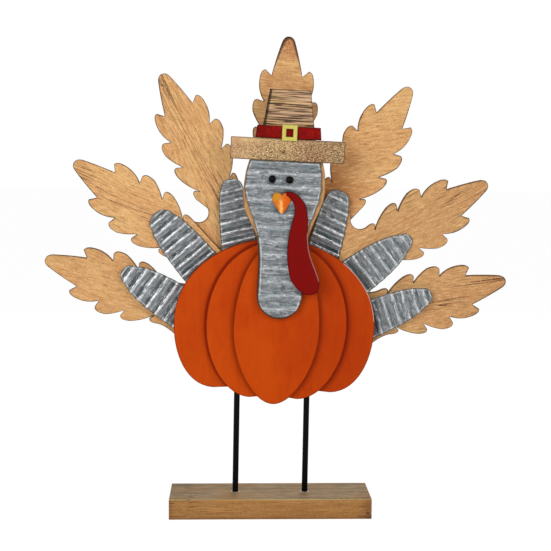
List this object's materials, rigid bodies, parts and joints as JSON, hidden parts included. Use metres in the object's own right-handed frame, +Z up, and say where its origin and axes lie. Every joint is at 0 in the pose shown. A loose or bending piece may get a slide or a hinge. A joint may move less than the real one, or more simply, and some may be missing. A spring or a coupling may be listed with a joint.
{
  "type": "turkey figure",
  "caption": "Standing turkey figure with a fan of leaf boards and corrugated metal feathers, a layered pumpkin body, a pilgrim hat, and rod legs on a wooden block.",
  "frame": {"origin": "middle of the wooden block's underside, the face that the figure stands on", "axes": "+Z up along the figure's height, -Y towards the viewer of its front, +X to the right of someone who looks at its front"},
  "size_m": [0.3734, 0.0503, 0.3793],
  "materials": {
    "leaf_wood": "tan stain with dark grain streaks and scorched edges, satin",
    "hat_wood": "weathered tan wood with dark brushed grooves, matte",
    "block_wood": "oiled brown pine with a greyed top, satin",
    "neck_wood": "plain tan wood, matte",
    "galvanised_sheet": "galvanised corrugated sheet, mottled and weathered",
    "orange_paint": "wood painted burnt orange with darkened edges, satin",
    "beak_paint": "folded sheet painted orange, satin",
    "wattle_paint": "wood painted dark red, satin",
    "band_paint": "wood painted deep red, slightly rough",
    "buckle_paint": "thin wood frame painted pale yellow, satin",
    "rod_black": "black painted steel rod, satin",
    "eye_black": "black enamelled tack head, semi-gloss",
    "fastener_steel": "zinc plated screws and nails"
  },
  "bodies": {
    "root": {"base_block": "block_wood", "beak": "beak_paint", "brim_nail": "fastener_steel", "eye_left": "eye_black", "eye_right": "eye_black", "facing_nail": "fastener_steel", "feather_nail_lower_left": "fastener_steel", "feather_nail_lower_right": "fastener_steel", "feather_nail_middle_left": "fastener_steel", "feather_nail_middle_right": "fastener_steel", "feather_nail_upper_left": "fastener_steel", "feather_nail_upper_right": "fastener_steel", "hat_band": "band_paint", "hat_brim": "hat_wood", "hat_buckle": "buckle_paint", "hat_crown": "hat_wood", "leaf_lower_left": "leaf_wood", "leaf_lower_right": "leaf_wood", "leaf_middle_left": "leaf_wood", "leaf_middle_right": "leaf_wood", "leaf_screw_lower_left": "fastener_steel", "leaf_screw_lower_right": "fastener_steel", "leaf_screw_top": "fastener_steel", "leaf_screw_upper_left": "fastener_steel", "leaf_screw_upper_right": "fastener_steel", "leaf_top": "leaf_wood", "leaf_upper_left": "leaf_wood", "leaf_upper_right": "leaf_wood", "metal_feather_lower_left": "galvanised_sheet", "metal_feather_lower_right": "galvanised_sheet", "metal_feather_middle_left": "galvanised_sheet", "metal_feather_middle_right": "galvanised_sheet", "metal_feather_upper_left": "galvanised_sheet", "metal_feather_upper_right": "galvanised_sheet", "neck_board": "neck_wood", "neck_facing": "galvanised_sheet", "panel_screw_left": "fastener_steel", "panel_screw_right": "fastener_steel", "panel_screw_top": "fastener_steel", "pumpkin_back_panel": "orange_paint", "pumpkin_front_panel": "orange_paint", "pumpkin_middle_panel": "orange_paint", "rod_left": "rod_black", "rod_right": "rod_black", "wattle": "wattle_paint"}
  },
  "joints": []
}
